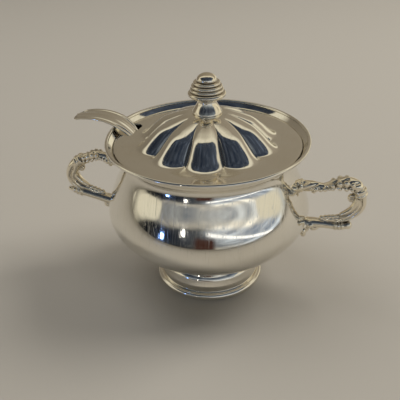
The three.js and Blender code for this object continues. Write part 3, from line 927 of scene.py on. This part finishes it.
def sculpt(parts, name):
    """Closed parts melted into one casting."""
    obj = new_object(name, make_mesh(name, parts))
    remesh = obj.modifiers.new("melt", "REMESH")
    remesh.mode = "VOXEL"
    remesh.voxel_size = CASTING_VOXEL * MM
    smooth = obj.modifiers.new("soften", "SMOOTH")
    smooth.factor = 0.5
    smooth.iterations = CASTING_SMOOTHINGS
    return with_modifiers(obj)


def seat_on_bowl(mesh):
    """Points inside the bowl's outside are moved out to just under its surface."""
    for vertex in mesh.vertices:
        x, y, z = (c / MM for c in vertex.co)
        reach = math.hypot(x, y)
        limit = bowl_radius(z) - CASTING_SINK
        if reach < limit:
            vertex.co.x *= limit / reach
            vertex.co.y *= limit / reach


def scroll_relief(t, up):
    """Slanting leaf ribs at the root and over the crest, and a hollow along each flank lower down."""
    crest = smoothstep(0.17, 0.2, t) * (1 - smoothstep(0.36, 0.4, t))
    leafy = max(crest, 0.8 * (1 - smoothstep(0.1, 0.13, t)))
    valley = (1 - abs(math.sin(math.pi * (RIB_COUNT * t - RIB_SLANT * up)))) ** 1.6
    spine = math.exp(-(((up - 1) / SPINE_WIDTH) ** 2))
    lower = smoothstep(0.47, 0.54, t) * (1 - smoothstep(0.84, 0.9, t))
    flank = lower * math.exp(-((up / FLANK_WIDTH) ** 2))
    return 1 - RIB_DEPTH * leafy * valley * (1 - spine) - FLANK_DEPTH * flank


def make_handle(name, form, node, turn):
    """One casting: scroll, bar, strand and curl, with their leaves, beads, rings and pads."""
    scroll, shares, bar, bar_shares = (form[key] for key in ("scroll", "shares", "bar", "bar_shares"))
    parts = [
        arm(scroll, shares, width=1.1, steps=280, sides=44, relief=scroll_relief),
        arm(bar, bar_shares, width=1.3, steps=40),
        arm(form["strand"], STRAND_SHARES, width=1.5, steps=30),
        *leaf(scroll, shares),
        ball(1.35 * HANDLE_END_RADIUS * min(bar_shares[-1], 1), bar[-1]),
        spiral(form["curl"], HANDLE_CURL_RADIUS),
        ball(0.5 * HANDLE_CURL_RADIUS, form["curl"], scale=(1, 1.6, 1)),
    ]
    low, high = (np.array(p) for p in form["band"])
    for share, size in BAND_LOOPS:
        parts.append(loop(lerp(low, high, share), high - low, 0.77 * size * HANDLE_BAND_RADIUS,
                          0.26 * HANDLE_BAND_RADIUS))
    for i in range(HANDLE_BEADS):
        share = i / (HANDLE_BEADS - 1)
        t = lerp(*UPPER_BEADS, share)
        for side in (-0.75, 0.75):
            parts.append(ball(1.1 * HANDLE_BEAD_RADIUS, over_arm(scroll, shares, t, -0.35),
                              y=1.35 * side * HANDLE_ARM_RADIUS, scale=(0.85, 0.9, 0.9)))
        t = lerp(*LOWER_BEADS, share)
        parts.append(ball(HANDLE_BEAD_RADIUS, over_arm(scroll, shares, t, 1.1)))
    parts.append(ball(HANDLE_BEAD_RADIUS, over_arm(scroll, shares, ROOT_BEAD, -1.15)))
    for t in form["lobes"]:
        for side in (-0.5, 0.5):
            parts.append(ball(1.25 * HANDLE_END_RADIUS, over_arm(bar, bar_shares, t, -0.95),
                              y=side * HANDLE_ARM_RADIUS, scale=(0.95, 0.9, 1.05)))
    for t in BAR_LOOPS:
        radius = HANDLE_ARM_RADIUS * along(bar_shares, t)
        parts.append(loop(through(bar, t), heading(bar, t), radius, 0.32 * radius))
    for v, size in ((form["root"], 0.6), (LOWER_PAD, 0.9)):
        radius = size * HANDLE_PAD_RADIUS
        parts.append(ball(radius, on_bowl(v), scale=(0.75, 1.1, 1.1)))
        parts += root_leaf(on_bowl(v), radius, v < 0)
    mesh = sculpt(parts, name)
    seat_on_bowl(mesh)
    mesh.transform(Matrix.Rotation(turn, 4, "Z"))
    tidy_mesh(mesh, CASTING_SHARP_ANGLE)
    add_piece(name, mesh, cast_plate, "pot", "cast_plate", node)


make_handle("right_scroll", RIGHT_HANDLE, "handle_right", 0)
make_handle("left_scroll", LEFT_HANDLE, "handle_left", math.pi)


# Ladle

cup_lip = bowl_floor + GAP + DIPPER_DEPTH
LADLE_STEPS, LADLE_SIDES = 150, 112
DIPPER_POINTS = 40
TIP_ROUND = 0.05

# Carving of the blade's face: depths in half thicknesses, places in half widths
DISH_DEPTH, THREAD_DEPTH, RIDGE_HEIGHT = 0.6, 0.6, 0.6
THREAD_PLACE, THREAD_WIDTH, RIDGE_WIDTH = 0.68, 0.1, 0.2


def make_dipper():
    """The round cup, half an ellipsoid with an eased edge."""
    def quarter(radius, depth, start, end):
        return [(radius * math.cos(a), cup_lip + depth * math.sin(a))
                for a in np.linspace(start, end, DIPPER_POINTS)]

    outside = quarter(DIPPER_RADIUS, DIPPER_DEPTH, -0.5 * math.pi, 0)
    inside = quarter(DIPPER_RADIUS - DIPPER_WALL, DIPPER_DEPTH - DIPPER_WALL, 0, -0.5 * math.pi)
    middle = DIPPER_RADIUS - DIPPER_WALL / 2
    edge = [(middle + DIPPER_WALL / 2 * math.cos(a), cup_lip - 0.01 + 0.3 * DIPPER_WALL * math.sin(a))
            for a in np.linspace(0.15 * math.pi, 0.85 * math.pi, 6)]
    outside[0], inside[-1] = (0, outside[0][1]), (0, inside[-1][1])
    verts, faces = turned([*outside[:-1], *edge, *inside[1:]], SMALL_TURN_STEPS)
    return [(x + DIPPER_OFFSET, y, z) for x, y, z in verts], faces


def carved(across):
    """What the blade's face loses at a place across it, from -1 to 1, in shares of half its
    thickness: a shallow dish and a thread near each edge, less the ridge along the middle."""
    dish = DISH_DEPTH * (1 - across * across)
    thread = THREAD_DEPTH * math.exp(-(((abs(across) - THREAD_PLACE) / THREAD_WIDTH) ** 2))
    ridge = RIDGE_HEIGHT * math.exp(-((across / RIDGE_WIDTH) ** 2))
    return dish + thread - ridge


def make_ladle():
    """The dipper, a stem that rises to the notch, and a flat blade that rests on the rim wire."""
    side = DIPPER_OFFSET + DIPPER_RADIUS - 0.5 * DIPPER_WALL
    half = LADLE_THICKNESS / 2
    clear = RIM_WIRE_RADIUS + GAP + half + LADLE_REST_CLEARANCE
    rest = np.array([rim[0] - clear * math.sin(LADLE_LEAN), rim[1] + clear * math.cos(LADLE_LEAN)])
    mouth = (LID_RADIUS - 0.6 * NOTCH_DEPTH, lid_border - 1.5)
    tip = rim[0] + LADLE_TIP_REACH - LADLE_TIP_BACK
    path = [
        (side, cup_lip - 4), (side + 1.5, cup_lip + 3),
        (lerp(side, mouth[0], 0.33), lerp(cup_lip, mouth[1], 0.36)),
        (lerp(side, mouth[0], 0.66), lerp(cup_lip, mouth[1], 0.69)),
        mouth, rest,
        (lerp(rest[0], tip, 0.33), rest[1] + LADLE_ARCH * 0.85),
        (lerp(rest[0], tip, 0.66), rest[1] + LADLE_ARCH * 0.75),
        (tip, rest[1] + 0.05 * LADLE_ARCH),
    ]
    shares = [0, 0, 0.03, 0.2, 0.56, 0.9, 0.95, 1, 1]
    widths = [lerp(LADLE_STEM_WIDTH, LADLE_BLADE_WIDTH, share) / 2 for share in shares]
    verts = []
    for k in range(LADLE_STEPS + 1):
        t = k / LADLE_STEPS
        way = unit(heading(path, t, 0.002))
        centre = through(path, t)
        fade = math.sqrt(max(1 - (clamp(t - (1 - TIP_ROUND), 0, 1) / TIP_ROUND) ** 2, 0.02))
        width = along(widths, t) * fade
        blade = float(smoothstep(0.4, 0.6, t))
        for j in range(LADLE_SIDES):
            a = 2 * math.pi * j / LADLE_SIDES
            y = math.copysign(abs(math.cos(a)) ** 0.8, math.cos(a))
            top = math.sin(a)
            thick = half * math.copysign(abs(top) ** lerp(1, 0.7, blade), top)
            if top > 0 and blade > 0:
                thick -= blade * half * carved(y)
            verts.append((centre[0] - way[1] * thick, width * y, centre[1] + way[0] * thick))
    handle = (verts, bar_faces(LADLE_STEPS, LADLE_SIDES))
    mesh = make_mesh("sauce_ladle", [make_dipper(), handle])
    mesh.transform(Matrix.Rotation(LADLE_ANGLE, 4, "Z"))
    add_piece("sauce_ladle", mesh, spun_plate, "ladle", "spun_plate", "ladle")


make_ladle()


# Floor, light and camera. Lamps and the floor's reach are in metres.

FLOOR_REACH = 6.0

# The studio as (place, colour) stops; a single number is a grey. Heights run from 0 at the
# horizon to 1 overhead, and places across from 0 at the camera's far left to 1 at its far right.
CLOTH_ACROSS = [(0.0, (0.17, 0.145, 0.11)), (0.5, (0.26, 0.225, 0.17)), (1.0, (0.37, 0.32, 0.25))]
ROOM_UP = [
    (0.00, (0.80, 0.75, 0.63)), (0.02, (0.30, 0.29, 0.27)), (0.10, (0.30, 0.33, 0.36)),
    (0.21, (0.34, 0.37, 0.41)), (0.235, (0.60, 0.56, 0.48)), (0.25, (0.62, 0.58, 0.50)),
    (0.265, (0.36, 0.37, 0.37)), (0.38, (0.40, 0.43, 0.45)), (0.52, (0.12, 0.14, 0.165)),
    (0.66, (0.05, 0.06, 0.08)), (1.00, (0.04, 0.05, 0.07)),
]
LOW_SHADE_ACROSS = [(0.0, 0.03), (0.25, (0.06, 0.07, 0.09)), (0.40, 0.20), (0.5, 0.55), (0.6, 0.95),
                    (1.0, 1.3)]
HIGH_SHADE_ACROSS = [(0.0, 0.45), (0.5, 0.9), (1.0, 1.35)]
STREAK_TINTS = [(0.34, (0.40, 0.48, 0.62)), (0.5, 1.0), (0.66, (2.0, 2.05, 2.1))]

# Where one thing in the studio gives way to the next, and how its lines lie
PANEL_SIDE, PANEL_TOP = (0.15, 0.35), (0.28, 0.20)
ROOM_DIP = 0.14
LEDGE_RISE = (0.22, 0.245)
HAZE_UP = (0.25, 0.5)
WINDOW_LEVEL, WINDOW_SLANT = 0.19, 0.09
WINDOW_EDGE, WINDOW_START = (0.020, 0.010), (-0.08, 0.0)
CUPBOARD_LEFT = 0.08
CUPBOARD_SIDE, CUPBOARD_TOP = (0.22, 0.14), (0.17, 0.13)
BACK_SHARE = 0.6
FRAME_CORNER = 0.04
ROOM_TO_CREAM, CREAM_TO_CLOTH = (-0.012, 0.008), (0.10, 0.20)
CREAM_PANEL = (0.78, 0.72, 0.55, 1)
CREAM_FRAME = (0.72, 0.67, 0.53, 1)
WINDOW_WHITE = (1.4, 1.4, 1.38, 1)
CUPBOARD_BROWN = (0.055, 0.024, 0.018, 1)

# How far the room reaches before the cream frame begins, sideways and to the back, by height
ROOM_WIDTH_UP = [(0.0, 1.0), (0.03, 0.995), (0.075, 0.96), (0.11, 0.91), (0.15, 0.85), (0.2, 0.82),
                 (0.3, 0.82), (0.42, 0.88), (0.6, 0.82), (1.0, 0.7)]
ROOM_BACK_UP = [(0.0, 0.09), (0.09, 0.08), (0.15, 0.02), (0.40, 0.02), (0.52, 0.10), (0.85, 0.10),
                (0.97, 0.03), (1.0, 0.03)]


def make_floor():
    mesh = bpy.data.meshes.new("studio_floor")
    corners = [(x * FLOOR_REACH, y * FLOOR_REACH, 0) for x, y in ((-1, -1), (1, -1), (1, 1), (-1, 1))]
    mesh.from_pydata(corners, [], [(0, 1, 2, 3)])
    floor = new_object("studio_floor", mesh)
    material, nodes = new_material("studio_floor")
    shader = nodes.add("ShaderNodeBsdfPrincipled", {
        "Base Color": (0.50, 0.47, 0.42, 1), "Roughness": 0.9, "Specular IOR Level": 0.1,
    })
    nodes.add("ShaderNodeOutputMaterial", {"Surface": shader.outputs[0]})
    mesh.materials.append(material)


def make_world():
    """A soft studio. Grey cloth hangs behind the pot, with a cream panel low down on the right.
    Cream strips stand beside the room in front and over it. The room is grey up to a pale ledge
    and dark overhead, darker to the left and lighter to the right, with the thin bright line of a
    window on the right and a low brown cupboard near the middle."""
    world = bpy.data.worlds.new("studio")
    scene.world = world
    world.use_nodes = True
    nodes = Nodes(world.node_tree)
    way = nodes.add("ShaderNodeTexCoord").outputs["Generated"]
    c, s = math.cos(CAMERA_AZIMUTH), math.sin(CAMERA_AZIMUTH)

    def component(axis):
        dot = nodes.add("ShaderNodeVectorMath", {0: way, 1: axis}, operation="DOT_PRODUCT")
        return dot.outputs["Value"]

    far, side, up = component((-s, c, 0)), component((c, s, 0)), component((0, 0, 1))
    across = nodes.between(side, -1, 1)
    cloth = nodes.ramp(across, CLOTH_ACROSS)
    panel = nodes.math("MULTIPLY", nodes.between(side, *PANEL_SIDE), nodes.between(up, *PANEL_TOP))
    cloth = nodes.mix(panel, cloth, CREAM_PANEL)

    rise = nodes.math("MULTIPLY_ADD", nodes.math("POWER", side, 2.0), ROOM_DIP, up)
    wall = nodes.ramp(rise, ROOM_UP)
    low_shade = nodes.ramp(across, LOW_SHADE_ACROSS)
    high_shade = nodes.ramp(across, HIGH_SHADE_ACROSS)
    shade = nodes.mix(nodes.between(rise, *LEDGE_RISE), low_shade, high_shade)
    streaks = nodes.noise(nodes.scaled(way, (1.6, 1.6, 34)), detail=3.0, roughness=0.6)
    haze = nodes.noise(nodes.scaled(way, (4, 4, 4)), detail=3.0, roughness=0.6)
    patches = nodes.mix(nodes.between(up, *HAZE_UP), streaks, haze, kind="FLOAT")
    veil = nodes.ramp(patches, STREAK_TINTS)
    room = nodes.mix(1.0, nodes.mix(1.0, wall, shade, blend="MULTIPLY"), veil, blend="MULTIPLY")

    toward = nodes.math("MULTIPLY_ADD", far, WINDOW_LEVEL, up)
    sill = nodes.math("ADD", toward, nodes.math("MULTIPLY", side, WINDOW_SLANT))
    window = nodes.math("MULTIPLY", nodes.between(nodes.math("ABSOLUTE", sill), *WINDOW_EDGE),
                        nodes.between(side, *WINDOW_START))
    room = nodes.mix(window, room, WINDOW_WHITE)

    aside = nodes.math("ABSOLUTE", nodes.math("ADD", side, CUPBOARD_LEFT))
    cupboard = nodes.math("MULTIPLY", nodes.between(aside, *CUPBOARD_SIDE),
                          nodes.between(up, *CUPBOARD_TOP))
    room = nodes.mix(cupboard, room, CUPBOARD_BROWN)

    width = nodes.ramp(up, ROOM_WIDTH_UP)
    reach = nodes.ramp(up, ROOM_BACK_UP)
    beside = nodes.math("SUBTRACT", nodes.math("ABSOLUTE", side), width)
    behind = nodes.math("SUBTRACT", nodes.math("MULTIPLY", far, BACK_SHARE), reach)
    past = nodes.math("SMOOTH_MAX", beside, behind, FRAME_CORNER)
    frame_light = nodes.mix(nodes.between(past, *CREAM_TO_CLOTH), CREAM_FRAME, cloth)
    color = nodes.mix(nodes.between(past, *ROOM_TO_CREAM), room, frame_light)
    background = nodes.add("ShaderNodeBackground", {"Color": color, "Strength": 1.0})
    nodes.add("ShaderNodeOutputWorld", {"Surface": background.outputs[0]})


def add_lamp(name, place, aim, size, power, color, mirrored=True):
    """A soft square lamp placed in the frame turned about the pot so that the camera is in front,
    and aimed at a height on the pot's axis. A lamp that isn't mirrored lights the floor and leaves
    the metal to the studio round it."""
    place = Matrix.Rotation(CAMERA_AZIMUTH, 3, "Z") @ Vector(place)
    data = bpy.data.lights.new(name, "AREA")
    data.shape = "RECTANGLE"
    data.size, data.size_y = size, size
    data.energy = power
    data.color = color
    lamp = new_object(name, data)
    lamp.visible_glossy = mirrored
    lamp.location = place
    lamp.rotation_euler = (Vector((0, 0, aim)) - place).to_track_quat("-Z", "Y").to_euler()


def make_camera():
    """The photograph's view, fitted to the rim, the foot, the finial and both handles."""
    data = bpy.data.cameras.new("camera")
    data.lens = CAMERA_LENS
    data.sensor_width = CAMERA_SENSOR
    data.sensor_fit = "HORIZONTAL"
    data.clip_start, data.clip_end = 0.01, 50
    camera = new_object("camera", data)
    aim = (Matrix.Rotation(CAMERA_YAW, 4, "Z") @ Matrix.Rotation(math.pi / 2 + CAMERA_PITCH, 4, "X")
           @ Matrix.Rotation(CAMERA_ROLL, 4, "Z"))
    place = Matrix.Translation((0, -CAMERA_BACK * MM, CAMERA_HEIGHT * MM))
    camera.matrix_world = Matrix.Rotation(CAMERA_AZIMUTH, 4, "Z") @ place @ aim
    scene.camera = camera


make_floor()
make_world()
add_lamp("key_lamp", (1.25, 0.40, 1.6), aim=0.06, size=1.0, power=22.0, color=(1.0, 0.97, 0.92),
         mirrored=False)
add_lamp("fill_lamp", (-0.7, 0.40, 1.6), aim=0.06, size=1.2, power=8.0, color=(0.98, 0.98, 1.0),
         mirrored=False)
add_lamp("blue_lamp", (-0.92, -0.77, 0.14), aim=0.07, size=0.07, power=0.20, color=(0.25, 0.45, 1.0))
add_lamp("spark_lamp", (-0.54, -1.06, 0.27), aim=0.07, size=0.05, power=0.10, color=(1.0, 0.98, 0.95))
make_camera()
scene.view_settings.view_transform = "Standard"
